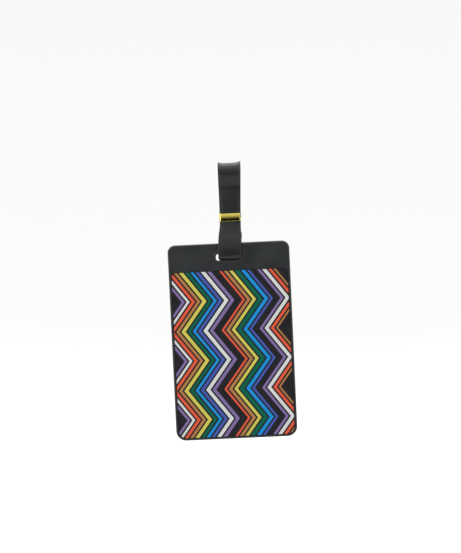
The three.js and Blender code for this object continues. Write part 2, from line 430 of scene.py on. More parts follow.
# %% Cut the window and finish the front shell
PRINT_CLEARANCE, WINDOW_EDGE = 0.2 * MM, 0.16 * MM
WINDOW_TOP_RADIUS, WINDOW_BOTTOM_RADIUS = 3 * MM, 4.3 * MM
window_left, window_right = sheet_low.x - PRINT_CLEARANCE, sheet_high.x + PRINT_CLEARANCE
window_bottom, window_top = sheet_low.z - PRINT_CLEARANCE, sheet_high.z + PRINT_CLEARANCE


def window_plate(name, inset, front, back):
    """A plate of the window's outline, or of one that is smaller all round."""
    return rounded_plate(
        name, window_left + inset, window_right - inset, window_bottom + inset, window_top - inset,
        WINDOW_BOTTOM_RADIUS - inset, WINDOW_TOP_RADIUS - inset, front, back,
    )


def at_window_wall(place):
    inside = window_left - WALL_REACH < place.x < window_right + WALL_REACH
    return inside and window_bottom - WALL_REACH < place.z < window_top + WALL_REACH


front = make_shell("tag_front_shell", front_face, seam_front)
combine(front, window_plate("window", 0, -THROUGH, THROUGH), "DIFFERENCE")
soften(front, WINDOW_EDGE, 3, lambda p: at_depth(front_face)(p) and at_window_wall(p))
smooth(front)
paint(front, shell_pvc)
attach(front, "tag")
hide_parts("front_shell")
print("front shell faces:", len(front.data.polygons))

# %% [markdown]
# ## Back shell
#
# The back shell is the same half with a shallow recess for the clear window and, below it, the
# pocket for the card. Both run out through one long edge, where the card slides in.

# %% Recess, pocket and finish of the back shell
WINDOW_LEDGE = 1.5 * MM
POCKET_RADIUS = 2 * MM
FILM_CLEARANCE, SEAT_GAP, CARD_GAP = 0.15 * MM, 0.1 * MM, 0.2 * MM
POCKET_EDGE = 0.12 * MM
film_seat = film_low.y - SEAT_GAP
pocket_floor = card_low.y - CARD_GAP


def pocket_plate(name, rim, front):
    """A plate that is open past the tag's left edge, less a rim on the other three sides."""
    return rounded_plate(
        name, tag_left - THROUGH, film_high.x + FILM_CLEARANCE - rim,
        film_low.z - FILM_CLEARANCE + rim, film_high.z + FILM_CLEARANCE - rim,
        POCKET_RADIUS, POCKET_RADIUS, front, THROUGH,
    )


back = make_shell("tag_back_shell", back_face, seam_back)
combine(back, pocket_plate("seat", 0, film_seat), "DIFFERENCE")
combine(back, pocket_plate("pocket", WINDOW_LEDGE, pocket_floor), "DIFFERENCE")
soften(
    back, POCKET_EDGE, 2,
    lambda p: at_depth(back_face)(p) and film_low.z - MM < p.z < film_high.z + MM,
)
smooth(back)
paint(back, shell_pvc)
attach(back, "tag")
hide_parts("back_shell")
print("back shell faces:", len(back.data.polygons))

# %% [markdown]
# ## The printed sheet and its inks
#
# The sheet is printed black all over, and the coloured stripes are inks laid on top. Each ink
# is a film a few hundredths of a millimetre thick. Making the inks as real, raised shapes keeps
# their edges crisp from any distance, and lets each ink have its own finish.
#
# All stripes share one zigzag. A stripe starts as a ladder of rectangles with a rung at each
# peak and valley; pushing every second rung sideways gives the zigzag. The stripe is then
# thickened and trimmed to the sheet's rounded outline.

# %% The zigzag
PERIOD = 31.75 * MM
SWING = 5.98 * MM
FIRST_PEAK = tag_top - 30.55 * MM
INK_THICKNESS = 0.03 * MM
INK_SINK = 0.02 * MM
SHEET_MARGIN = 0.15 * MM
OUTLINE_WIDTH = 1.1 * MM


def zigzag_stripe(bm, left, right):
    """Adds one zigzag stripe between two places, which hold halfway between peak and valley."""
    half = PERIOD / 2
    rungs = 8
    rise = rungs * half
    top = FIRST_PEAK + half
    made = bmesh.ops.create_grid(bm, x_segments=1, y_segments=rungs, size=0.5)
    verts = made["verts"]
    bmesh.ops.scale(bm, verts=verts, vec=(right - left, rise, 1))
    bmesh.ops.rotate(bm, verts=verts, cent=(0, 0, 0), matrix=Matrix.Rotation(math.radians(90), 3, "X"))
    bmesh.ops.translate(
        bm, verts=verts, vec=(tag_middle + (left + right) / 2, sheet_low.y + INK_SINK, top - rise / 2),
    )
    for peak, sideways in ((False, -SWING), (True, SWING)):
        rung = [v for v in verts if (round((top - v.co.z) / half) % 2 == 1) == peak]
        bmesh.ops.translate(bm, verts=rung, vec=(sideways, 0, 0))


def print_ink(name, stripes):
    """All stripes of one ink, as one piece."""
    bm = bmesh.new()
    for left, right in stripes:
        zigzag_stripe(bm, left * MM, right * MM)
    grown = bmesh.ops.extrude_face_region(bm, geom=bm.faces[:])
    bmesh.ops.translate(bm, verts=verts_of(grown["geom"]), vec=(0, -INK_THICKNESS - INK_SINK, 0))
    ink = as_piece(bm, name)
    trim = window_plate("trim", PRINT_CLEARANCE + SHEET_MARGIN, -THROUGH, THROUGH)
    return combine(ink, trim, "INTERSECT")


# %% [markdown]
# ### Order of the stripes
#
# The stripes are listed from left to right by the places of their edges, measured from the
# tag's middle. Neighbouring inks leave a thin outline of the black sheet between them. Two wide
# stripes stay bare, and show the sheet itself.

# %% Lay out the stripes
RUNS = [
    (-32.7, [("purple", -30.0), ("white", -27.4), ("red", -24.45), ("tan", -21.65), ("yellow", -18.35),
             ("green", -15.6), ("light_blue", -12.85), ("indigo", -9.95), ("white", -6.6),
             ("purple", -3.45)]),
    (-0.15, [("red", 2.25), ("tan", 5.2), ("yellow", 8.15), ("green", 11.5), ("light_blue", 14.7),
             ("indigo", 17.2)]),
    (20.1, [("purple", 22.8), ("white", 26.05), ("red", 28.95), ("tan", 31.1)]),
]


def stripes_by_ink(runs):
    """Turns runs of neighbouring stripes into a list of (left, right) for each ink."""
    found = {}
    gap = OUTLINE_WIDTH / MM / 2
    for start, stripes in runs:
        left = start
        for ink, right in stripes:
            found.setdefault(ink, []).append((left + gap, right - gap))
            left = right
    return found


ink_stripes = stripes_by_ink(RUNS)
print({ink: len(found) for ink, found in ink_stripes.items()})

# %% [markdown]
# ### How the inks look
#
# The pattern imitates ribbons drawn with a pen: fine lines run along each stripe, they fade in
# and out, and short dashes cross them. A group turns a place on the sheet into a place on the
# ribbon: how far across the stripe, and how far along it. A second group draws the pen lines
# from that, and every ink uses both.

# %% Group: place on the zigzag
def make_zigzag_group():
    group, given, end = new_group(
        "place on the zigzag",
        [("Place", "NodeSocketVector", None)],
        [("Across", "NodeSocketFloat"), ("Along", "NodeSocketFloat")],
    )
    parts = add(group, "ShaderNodeSeparateXYZ", {"Vector": given["Place"]}).outputs
    down = sum_of(group, "SUBTRACT", FIRST_PEAK, parts["Z"])
    fold = sum_of(group, "PINGPONG", down, PERIOD / 2)
    sideways = sum_of(group, "MULTIPLY", fold, -4 * SWING / PERIOD)
    shifted = sum_of(group, "SUBTRACT", parts["X"], sideways)
    group.links.new(shifted, end.inputs["Across"])
    group.links.new(down, end.inputs["Along"])
    return group


zigzag_place = make_zigzag_group()

# %% Group: pen lines
def make_pen_group():
    group, given, end = new_group(
        "pen lines",
        [
            ("Across", "NodeSocketFloat", 0.0),
            ("Along", "NodeSocketFloat", 0.0),
            ("Lines per metre", "NodeSocketFloat", 2000.0),
            ("Seed", "NodeSocketFloat", 0.0),
        ],
        [("Lines", "NodeSocketFloat"), ("Clouds", "NodeSocketFloat"), ("Dashes", "NodeSocketFloat")],
    )
    fine = add(group, "ShaderNodeCombineXYZ", {
        "X": sum_of(group, "MULTIPLY", given["Across"], given["Lines per metre"]),
        "Y": sum_of(group, "MULTIPLY", given["Along"], 90.0),
        "Z": given["Seed"],
    })
    lines = add(group, "ShaderNodeTexNoise", {"Vector": fine.outputs[0], "Scale": 1.0, "Detail": 2.0})
    broad = add(group, "ShaderNodeCombineXYZ", {
        "X": sum_of(group, "MULTIPLY", given["Across"], 500.0),
        "Y": sum_of(group, "MULTIPLY", given["Along"], 130.0),
        "Z": given["Seed"],
    })
    clouds = add(group, "ShaderNodeTexNoise", {"Vector": broad.outputs[0], "Scale": 1.0, "Detail": 3.0})
    slanted = sum_of(group, "ADD", given["Along"], sum_of(group, "MULTIPLY", given["Across"], 0.6))
    beat = sum_of(group, "SINE", sum_of(group, "MULTIPLY", slanted, 2 * math.pi / (0.62 * MM)))
    group.links.new(ramp(group, lines.outputs["Fac"], 0.38, 0.62, 0.0, 1.0), end.inputs["Lines"])
    group.links.new(ramp(group, clouds.outputs["Fac"], 0.35, 0.65, 0.0, 1.0), end.inputs["Clouds"])
    group.links.new(ramp(group, beat, -0.2, 1.0, 0.0, 1.0), end.inputs["Dashes"])
    return group


pen_lines = make_pen_group()
print("groups made:", zigzag_place.name, "and", pen_lines.name)

# %% [markdown]
# ### Mixing an ink
#
# Each ink has a body colour, a darker one for the pen lines and a paler one where it lies
# thin. The colours are given as they look on a screen and turned into the linear values that
# the shader works with.

# %% Ink colours
INK_COLOURS = {
    "red": (234, 95, 66),
    "tan": (186, 131, 78),
    "yellow": (216, 208, 92),
    "green": (6, 106, 80),
    "light_blue": (28, 150, 224),
    "indigo": (76, 95, 183),
    "white": (226, 229, 227),
    "purple": (135, 114, 169),
}


def linear(colour, factor=1.0):
    """A screen colour, 0 to 255, as linear values, made darker or paler by a factor."""
    def value(c):
        c = c / 255
        return (c / 12.92 if c <= 0.04045 else ((c + 0.055) / 1.055) ** 2.4) * factor
    return (*[min(1.0, value(c)) for c in colour], 1.0)


def make_ink(name, colour, seed):
    """The finish of one ink: pen lines, clouds and dashes."""
    material, tree, shader, place = new_material(
        name, Roughness=0.45, Specular_IOR_Level=0.12,
    )
    on = use_group(tree, zigzag_place, Place=place)
    pen = use_group(
        tree, pen_lines, Across=on["Across"], Along=on["Along"],
        Lines_per_metre=2400.0, Seed=seed + 0.5,
    )
    body, dark, pale = linear(colour), linear(colour, 0.8), linear(colour, 1.12)
    clouded = mix_colours(tree, ramp(tree, pen["Clouds"], 0.0, 1.0, 0.0, 0.6), body, pale)
    dashes = sum_of(tree, "MULTIPLY", pen["Dashes"], pen["Lines"])
    lines = ramp(tree, pen["Lines"], 0.3, 1.0, 0.0, 0.3)
    marks = sum_of(tree, "MAXIMUM", lines, ramp(tree, dashes, 0.2, 1.0, 0.0, 0.45))
    inked = mix_colours(tree, marks, clouded, dark)
    tree.links.new(inked, shader.inputs["Base Color"])
    bump = add(tree, "ShaderNodeBump", {"Height": pen["Lines"], "Strength": 0.15, "Distance": 0.01 * MM})
    tree.links.new(bump.outputs["Normal"], shader.inputs["Normal"])
    return material


# %% Print the inks
for seed, (ink, stripes) in enumerate(sorted(ink_stripes.items())):
    piece = print_ink("ink_" + ink, stripes)
    piece.data.shade_flat()
    paint(piece, make_ink(ink.replace("_", " ") + " ink", INK_COLOURS[ink], seed * 7.0))
    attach(piece, "tag")
    print(piece.name, "stripes:", len(stripes), "faces:", len(piece.data.polygons))

# %% [markdown]
# ### The black sheet
#
# The sheet's ground is printed too, so it has a faint streak along the same zigzag and nearly
# the same low gloss as the inks. The design's own plate already has the right shape and takes
# this finish.

# %% Finish of the sheet
def make_sheet_black():
    material, tree, shader, place = new_material(
        "printed black", Roughness=0.42, Specular_IOR_Level=0.2,
    )
    on = use_group(tree, zigzag_place, Place=place)
    pen = use_group(tree, pen_lines, Across=on["Across"], Along=on["Along"], Lines_per_metre=1800.0)
    ground = mix_colours(tree, pen["Clouds"], (0.011, 0.010, 0.013, 1), (0.020, 0.018, 0.023, 1))
    tree.links.new(ground, shader.inputs["Base Color"])
    bump = add(tree, "ShaderNodeBump", {"Height": pen["Lines"], "Strength": 0.1, "Distance": 0.01 * MM})
    tree.links.new(bump.outputs["Normal"], shader.inputs["Normal"])
    return material


paint(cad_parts["printed_sheet"], make_sheet_black())

# %% [markdown]
# ## Strap
#
# The strap is one flat strip. Its section is a bar with round edges and a fine line pressed in
# along each side, and it is pulled along a path of straight runs and arcs: down behind the tag,
# through the slot, up the front, round the eye for the handle, and down again as a flap. A spin
# turns a section through an arc, and a spin of no angle with an offset makes a straight run, so
# one operator makes the whole strap. Both free ends are rounded by narrowing the last sections.

# %% Sizes of the strap
STRAP_WIDTH, STRAP_THICKNESS = 11.2 * MM, 1.3 * MM
STRAP_AT_TAG = 3.05 * MM
LAYER_STEP = 1.4 * MM
SLOT_BEND, SLOT_BEND_RADIUS = -8.48 * MM, 2 * MM
FLEX_BOTTOM, FLEX_TOP = 1.5 * MM, 11 * MM
FRONT_START = -4.5 * MM
CLOSED_TOP = 28 * MM
EYE_RADIUS, EYE_CENTRE = 3.55 * MM, 38.8 * MM
FLAP_END = 11.6 * MM
END_RADIUS = 2.6 * MM
STEP = 0.45 * MM
FACE_SHARES = (0.12, 0.36, 0.6, 0.82)
LINE_INSET, LINE_DEPTH = 1.15 * MM, 0.09 * MM
LINE_INNER, LINE_OUTER, OUTER_DROP = 0.22 * MM, 0.2 * MM, 0.02 * MM
SIDE_ROUND = 0.48 * MM


def strap_section():
    """Points round a quarter of the strap's section, from near the middle of one face round the edge to
    its side.
    """
    edge, face = STRAP_WIDTH / 2, STRAP_THICKNESS / 2
    line = edge - LINE_INSET
    corner = SIDE_ROUND
    half = [(line * share, face) for share in FACE_SHARES]
    half += [(line - LINE_INNER, face), (line, face - LINE_DEPTH)]
    half.append((line + LINE_OUTER, face - OUTER_DROP))
    for i in range(7):
        angle = math.radians(90 - 15 * i)
        half.append((edge - corner + corner * math.cos(angle), face - corner + corner * math.sin(angle)))
    return half


def full_section():
    """The whole section, by turning the quarter over across and then through its thickness."""
    quarter = strap_section()
    right = quarter + [(x, -y) for x, y in reversed(quarter)]
    return right + [(-x, y) for x, y in reversed(right)]


# %% A strip that is pulled along runs and bends
class Strip:
    """A section that is pulled along in the plane of y and z. Each move adds wall behind it."""

    def __init__(self, points, place, heading):
        self.bm = bmesh.new()
        self.place = Vector(place)
        self.heading = heading
        verts = [self.bm.verts.new(self.spot(x, thick)) for x, thick in points]
        self.ring = [self.bm.edges.new((a, b)) for a, b in zip(verts, verts[1:] + verts[:1])]
        self.bm.faces.new(verts)
        self.rings = [(0.0, verts)]
        self.length = 0.0

    def forward(self):
        return Vector((0, math.cos(self.heading), math.sin(self.heading)))

    def outward(self):
        return Vector((0, -math.sin(self.heading), math.cos(self.heading)))

    def spot(self, x, thick):
        return self.place + Vector((x, 0, 0)) + self.outward() * thick

    def move(self, angle, centre, offset):
        verts = {v for e in self.ring for v in e.verts}
        made = bmesh.ops.spin(
            self.bm, geom=[*verts, *self.ring], cent=centre, axis=(1, 0, 0),
            dvec=offset, angle=angle, steps=1, use_duplicate=False,
        )
        self.ring = [g for g in made["geom_last"] if isinstance(g, bmesh.types.BMEdge)]
        self.rings.append((self.length, verts_of(made["geom_last"])))

    def run(self, length):
        steps = max(1, round(length / STEP))
        for _ in range(steps):
            offset = self.forward() * (length / steps)
            self.length += length / steps
            self.place += offset
            self.move(0, self.place, offset)
        return self

    def bend(self, radius, degrees):
        """Turns left in the plane for a positive angle, seen with y to the right and z up."""
        turn = math.radians(degrees)
        steps = max(2, round(abs(radius * turn) / STEP), round(abs(degrees) / 9))
        centre = self.place + self.outward() * radius * math.copysign(1, degrees)
        for _ in range(steps):
            self.length += abs(radius * turn) / steps
            self.place = centre + Matrix.Rotation(turn / steps, 3, "X") @ (self.place - centre)
            self.heading += turn / steps
            self.move(turn / steps, centre, (0, 0, 0))
        return self

    def step_aside(self, aside, rise):
        """Two equal, opposite arcs, to a parallel line. Positive aside is to the left."""
        half = 2 * math.atan2(abs(aside), rise)
        radius = rise / (2 * math.sin(half))
        side = math.copysign(math.degrees(half), aside)
        return self.bend(radius, side).bend(radius, -side)

    def finish(self, end_radius):
        """Closes the far end and rounds both ends, seen from the front."""
        self.bm.faces.new(ordered_ring(self.ring))
        for distance, verts in self.rings:
            inside = min(distance, self.length - distance)
            if inside >= end_radius:
                continue
            cut = end_radius - math.sqrt(end_radius**2 - (end_radius - inside) ** 2)
            half = max(abs(v.co.x) for v in verts)
            bmesh.ops.scale(self.bm, verts=verts, vec=((half - cut) / half, 1, 1))
        return self.bm


def ordered_ring(edges):
    """The vertices of a closed ring of edges, in order."""
    edges = list(edges)
    first = edges.pop()
    found = [first.verts[0], first.verts[1]]
    while edges:
        step = next(e for e in edges if found[-1] in e.verts)
        edges.remove(step)
        found.append(step.other_vert(found[-1]))
    return found[:-1]


# %% Pull the strap along its path
def pull_strap():
    """The whole strap, with heights measured from the tag's top edge."""
    down, quarter = -math.pi / 2, 90
    strip = Strip(full_section(), (0, 0, CLOSED_TOP), down)
    strip.run(CLOSED_TOP - FLEX_TOP)
    strip.step_aside(STRAP_AT_TAG, FLEX_TOP - FLEX_BOTTOM)
    strip.run(FLEX_BOTTOM - SLOT_BEND - SLOT_BEND_RADIUS)
    strip.bend(SLOT_BEND_RADIUS, -quarter)
    strip.run(2 * (STRAP_AT_TAG - SLOT_BEND_RADIUS))
    strip.bend(SLOT_BEND_RADIUS, -quarter)
    strip.run(FRONT_START - SLOT_BEND - SLOT_BEND_RADIUS)
    strip.step_aside(LAYER_STEP - STRAP_AT_TAG, FLEX_TOP - FRONT_START)
    strip.run(CLOSED_TOP - FLEX_TOP)
    strip.step_aside(EYE_RADIUS - LAYER_STEP, EYE_CENTRE - CLOSED_TOP)
    strip.bend(EYE_RADIUS, -2 * quarter)
    strip.step_aside(LAYER_STEP - EYE_RADIUS, EYE_CENTRE - CLOSED_TOP)
    strip.run(CLOSED_TOP - FLAP_END)
    print("length of the strap in mm:", round(strip.length / MM, 1), "ends at", strip.place / MM)
    return as_piece(strip.finish(END_RADIUS), "strap")


strap = pull_strap()

# %% [markdown]
# ### Pegs and holes
#
# Two pegs on the strap's lower end go through two holes in the flap and close the strap. Each
# peg has a broken edge, and so has each hole, because both are moulded.

# %% Close the strap
PEG_RADIUS, HOLE_RADIUS = 1.5 * MM, 1.75 * MM
PEG_HEIGHTS = (25 * MM, 20 * MM)
PEG_END = 2 * MM
HOLE_EDGE, PEG_EDGE = 0.14 * MM, 0.3 * MM


def bar(name, radius, start, end, height):
    """A round bar along y, made from a circle that is extruded."""
    bm = bmesh.new()
    turn = Matrix.Rotation(math.radians(-90), 3, "X")
    made = bmesh.ops.create_circle(bm, cap_ends=True, segments=40, radius=radius)
    bmesh.ops.rotate(bm, verts=made["verts"], cent=(0, 0, 0), matrix=turn)
    bmesh.ops.translate(bm, verts=made["verts"], vec=(0, start, height))
    grown = bmesh.ops.extrude_face_region(bm, geom=bm.faces[:])
    bmesh.ops.translate(bm, verts=verts_of(grown["geom"]), vec=(0, end - start, 0))
    return as_piece(bm, name)


def around_peg(place, radius):
    """True at a distance of radius from the line through either peg."""
    return any(
        abs(math.hypot(place.x, place.z - height) - radius) < 0.06 * MM for height in PEG_HEIGHTS
    )


for height in PEG_HEIGHTS:
    combine(strap, bar("hole", HOLE_RADIUS, LAYER_STEP / 2, 2 * LAYER_STEP, height), "DIFFERENCE")
soften(strap, HOLE_EDGE, 2, lambda p: p.y > LAYER_STEP and around_peg(p, HOLE_RADIUS))
for height in PEG_HEIGHTS:
    peg = bar("peg", PEG_RADIUS, 0, PEG_END, height)
    soften(peg, PEG_EDGE, 3, at_depth(PEG_END))
    combine(strap, peg, "UNION")

# %% [markdown]
# ### How a soft strap lies
#
# Soft PVC doesn't keep a ruler's line. The keeper pinches the strap, which spreads a little
# towards the slot and towards the eye. Below the keeper it bends to the middle of its slot, and
# over the fold at the top its edges curl outwards, as on any broad strip that is bent. In the slot
# its edges bow upwards, clear of the slot's round ends. Its rear layer comes out to the right of
# the front one, and behind the tag it sags. The sag is a guess, made so that no light comes
# through the slot under the strap. So each point is moved by its height and its layer.

# %% Let the strap lie
SIDE_AT_SLOT, SIDE_BEND, SIDE_LEAN = 0.5 * MM, 0.95 * MM, 0.024
BEND_START, BEND_END = -6 * MM, 12 * MM
REAR_SHIFT, REAR_START, REAR_END = 0.45 * MM, 1.9 * MM, 2.9 * MM
SPREAD_AT_TAG, SPREAD_AT_TOP = 0.075, 0.085
PINCH_START, PINCH_END = 3 * MM, 10 * MM
SPREAD_START = 12 * MM
BOW_LEFT, BOW_RIGHT = 0.45 * MM, 0.2 * MM
BOW_FULL, BOW_END = -6.5 * MM, -3 * MM
REAR_SAG, SAG_START, SAG_END = 1.4 * MM, 2.25 * MM, 3.25 * MM
CURL, CURL_BALANCE, TOP_TILT = 0.9 * MM, 0.4, 0.012
FOLD_START = CLOSED_TOP + 4 * MM
SHIFT_END = 2 * FLEX_TOP


def rise(value, start, end):
    """From 0 at start to 1 at end, with soft ends."""
    t = min(1.0, max(0.0, (value - start) / (end - start)))
    return t * t * (3 - 2 * t)


def strap_side(height):
    """How far the strap's middle lies to the right of the tag's middle."""
    return SIDE_AT_SLOT + SIDE_BEND * rise(height, BEND_START, BEND_END) + SIDE_LEAN * max(0, height)


def lay_strap(piece):
    """Moves each vertex from the pulled strap's own frame to its place on the tag."""
    fold_top = EYE_CENTRE + EYE_RADIUS
    for vertex in piece.data.vertices:
        x, y, height = vertex.co
        across = x / (STRAP_WIDTH / 2)
        fold = rise(height, FOLD_START, fold_top)
        spread = SPREAD_AT_TAG * (1 - rise(height, PINCH_START, PINCH_END))
        spread += SPREAD_AT_TOP * rise(height, SPREAD_START, fold_top)
        outwards = Vector((0, y, height - EYE_CENTRE)).normalized()
        away = outwards * CURL * (across**4 - CURL_BALANCE) * fold
        behind = rise(y, SAG_START, SAG_END)
        bow = (BOW_LEFT if x < 0 else BOW_RIGHT) * across**2 * (1 - rise(height, BOW_FULL, BOW_END))
        sag = REAR_SAG * behind * (1 - rise(height, BOW_FULL, FLEX_BOTTOM))
        lift = Vector((0, 0, TOP_TILT * x * fold + bow * (1 - behind) - sag))
        shift = REAR_SHIFT * rise(y, REAR_START, REAR_END) * (1 - rise(height, FLEX_BOTTOM, SHIFT_END))
        side = Vector((x * spread + strap_side(height) + shift + tag_middle, 0, tag_top))
        vertex.co = vertex.co + away + lift + side
    return piece


lay_strap(strap)
smooth(strap, 40)
paint(strap, strap_pvc)
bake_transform(strap)
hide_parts("strap_eye", "strap_tail", "strap_loop")
print("strap faces:", len(strap.data.polygons))

# %% [markdown]
# ## Keeper
#
# The keeper is a flat gilt wire bent round the strap and butted together at the back. Its face
# is slightly crowned, with a fine line near its upper edge, and its edges are rolled. It is
# pulled along a closed path in the same way as the strap, but lying down: four runs and four
# tight corners.

# %% Sizes of the keeper
keeper_low, keeper_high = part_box("keeper")
keeper_middle = (keeper_low + keeper_high) / 2
KEEPER_ASIDE = -0.03 * MM
keeper_middle.x = tag_middle + strap_side(keeper_middle.z - tag_top) + KEEPER_ASIDE
KEEPER_WALL, KEEPER_CORNER = 0.3 * MM, 0.9 * MM
CROWN, ROLL, EDGE_STEP = 0.2 * MM, 0.14 * MM, 0.05 * MM
GROOVE_SHARE, GROOVE_HALF, GROOVE_DEPTH = 0.56, 0.15 * MM, 0.1 * MM
BUTT_GAP = 0.02 * MM
SQUARE_END = 0.0001 * MM
keeper_size = keeper_high - keeper_low


def keeper_section():
    """The wire's section: across is up the keeper, and thickness points out of it."""
    half = keeper_size.z / 2
    outer = KEEPER_WALL - CROWN

    def crowned(share):
        return (half * share, outer + CROWN * (1 - share**2))

    points = [(-half + ROLL, 0.0), (-half, ROLL), (-half + EDGE_STEP, outer * 0.75)]
    points += [crowned(share) for share in (-0.86, -0.72, -0.5, -0.25, 0, 0.25, 0.42)]
    groove, face = crowned(GROOVE_SHARE)
    points += [(groove - GROOVE_HALF, face), (groove, face - GROOVE_DEPTH), (groove + GROOVE_HALF, face)]
    points += [crowned(0.72), crowned(0.86), (half - EDGE_STEP, outer * 0.75)]
    return points + [(half, ROLL), (half - ROLL, 0.0)]


def bend_keeper():
    """Pulls the wire round in the plane of y and z. That plane is laid down after the call."""
    inner = Vector((0, keeper_size.x / 2 - KEEPER_WALL, keeper_size.y / 2 - KEEPER_WALL))
    side_run = 2 * (inner.y - KEEPER_CORNER)
    end_run = 2 * (inner.z - KEEPER_CORNER)
    start = Vector((0, BUTT_GAP, inner.z))
    wire = Strip([(x, -thick) for x, thick in keeper_section()], start, 0)
    wire.run(side_run / 2 - BUTT_GAP)
    for length in (end_run, side_run, end_run):
        wire.bend(KEEPER_CORNER, -90).run(length)
    wire.bend(KEEPER_CORNER, -90).run(side_run / 2 - BUTT_GAP)
    return as_piece(wire.finish(SQUARE_END), "strap_keeper")


# %% [markdown]
# ### Gilt
#
# Gold plating over polished brass: a metal with a warm colour, nearly mirror smooth, with very
# faint polishing lines round the band and a few soft patches where fingers dulled it.

# %% Finish of the keeper
def make_gilt():
    material, tree, shader, place = new_material("polished gilt", Metallic=1.0)
    stretch = add(tree, "ShaderNodeMapping", {"Vector": place, "Scale": (300.0, 300.0, 9000.0)})
    lines = add(tree, "ShaderNodeTexNoise", {"Vector": stretch.outputs[0], "Scale": 1.0, "Detail": 2.0})
    out = use_group(
        tree, moulded_grain, Place=place, Grains_per_metre=1500.0, Roughness=0.07, Patchiness=0.04,
    )
    warm = mix_colours(tree, out["Patches"], (0.82, 0.68, 0.12, 1), (0.88, 0.76, 0.19, 1))
    tree.links.new(warm, shader.inputs["Base Color"])
    tree.links.new(out["Roughness"], shader.inputs["Roughness"])
    bump = add(tree, "ShaderNodeBump", {
        "Height": lines.outputs["Fac"], "Strength": 0.25, "Distance": 0.004 * MM,
    })
    tree.links.new(bump.outputs["Normal"], shader.inputs["Normal"])
    return material


keeper = bend_keeper()
lay_down = Matrix(((0, 1, 0, 0), (0, 0, 1, 0), (1, 0, 0, 0), (0, 0, 0, 1)))
keeper.data.transform(Matrix.Translation(keeper_middle) @ lay_down)
smooth(keeper, 50)
paint(keeper, make_gilt())
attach(keeper, "keeper")
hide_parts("keeper")
print("keeper faces:", len(keeper.data.polygons))

# %% [markdown]
# ## Window, card and board
#
# The clear window is a film with a half-round notch for the thumb. It is welded on three sides,
# and there a heated tool has left it frosted and ribbed. Light passes straight through such a
# thin film, so it is a mix of a transparent shader and a gloss one. The Fresnel node mixes them:
# mostly clear when seen square on, and shiny at a glancing angle.

# %% Make the window
NOTCH_RADIUS = 7 * MM
FILM_EDGE = 0.07 * MM


def make_window():
    film = rounded_plate(
        "pocket_window", film_low.x, film_high.x, film_low.z, film_high.z,
        POCKET_RADIUS, POCKET_RADIUS, film_low.y, film_high.y,
    )
    notch = bar("notch", NOTCH_RADIUS, -THROUGH, THROUGH, 0)
    notch.data.transform(Matrix.Translation((film_low.x, 0, (film_low.z + film_high.z) / 2)))
    combine(film, notch, "DIFFERENCE")
    soften(film, FILM_EDGE, 2, at_depth(film_high.y))
    return smooth(film)


def make_film():
    material, tree, shader, place = new_material(
        "clear film", Base_Color=(0.9, 0.95, 0.97, 1), IOR=1.5, Specular_IOR_Level=1.0,
    )
    parts = add(tree, "ShaderNodeSeparateXYZ", {"Vector": place}).outputs
    low = sum_of(tree, "SUBTRACT", parts["Z"], film_low.z)
    high = sum_of(tree, "SUBTRACT", film_high.z, parts["Z"])
    right = sum_of(tree, "SUBTRACT", film_high.x, parts["X"])
    inside = sum_of(tree, "MINIMUM", sum_of(tree, "MINIMUM", low, high), right)
    weld = ramp(tree, inside, 1.15 * MM, 1.35 * MM, 1.0, 0.0)
    slanted = sum_of(tree, "ADD", parts["X"], parts["Z"])
    ribs = sum_of(tree, "SINE", sum_of(tree, "MULTIPLY", slanted, 2 * math.pi / (0.9 * MM)))
    ribbed = sum_of(tree, "MULTIPLY", ribs, weld)
    bump = add(tree, "ShaderNodeBump", {"Height": ribbed, "Strength": 0.6, "Distance": 0.05 * MM})
    tree.links.new(bump.outputs["Normal"], shader.inputs["Normal"])
    tree.links.new(ramp(tree, weld, 0.0, 1.0, 0.06, 0.4), shader.inputs["Roughness"])
    clear = add(tree, "ShaderNodeBsdfTransparent", {"Color": (0.95, 0.97, 0.98, 1)})
    glance = add(tree, "ShaderNodeFresnel", {"IOR": 1.5})
    inner_face = add(tree, "ShaderNodeNewGeometry").outputs["Backfacing"]
    shiny = sum_of(tree, "MAXIMUM", glance.outputs[0], ramp(tree, weld, 0.0, 1.0, 0.05, 0.3))
    seen = sum_of(tree, "MULTIPLY", shiny, sum_of(tree, "SUBTRACT", 1.0, inner_face))
    mix = add(tree, "ShaderNodeMixShader", {0: seen, 1: clear.outputs[0], 2: shader.outputs[0]})
    out = next(n for n in tree.nodes if n.type == "OUTPUT_MATERIAL")
    tree.links.new(mix.outputs[0], out.inputs["Surface"])
    return material


window = make_window()
paint(window, make_film())
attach(window, "tag")
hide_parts("clear_window")

# %% [markdown]
# ### Card and board
#
# The card is blank but for ruled lines, where the owner writes. Rules, margins and fibres are
# all drawn by the material. The stiffener board is hidden inside the tag and gets a plain grey
# brown with fibres.

# %% Paper fibres, shared by card and board
def make_fibre_group():
    group, given, end = new_group(
        "paper fibres",
        [("Place", "NodeSocketVector", None), ("Fibres per metre", "NodeSocketFloat", 2500.0)],
        [("Fibres", "NodeSocketFloat"), ("Clouds", "NodeSocketFloat")],
    )
    stretch = add(
        group, "ShaderNodeVectorMath", {0: given["Place"], 1: (1.0, 1.0, 0.35)}, operation="MULTIPLY",
    )
    fibres = add(group, "ShaderNodeTexNoise", {
        "Vector": stretch.outputs[0], "Scale": given["Fibres per metre"], "Detail": 5.0, "Distortion": 0.8,
    })
    clouds = add(group, "ShaderNodeTexNoise", {"Vector": given["Place"], "Scale": 90.0, "Detail": 3.0})
    group.links.new(fibres.outputs["Fac"], end.inputs["Fibres"])
    group.links.new(clouds.outputs["Fac"], end.inputs["Clouds"])
    return group


paper_fibres = make_fibre_group()


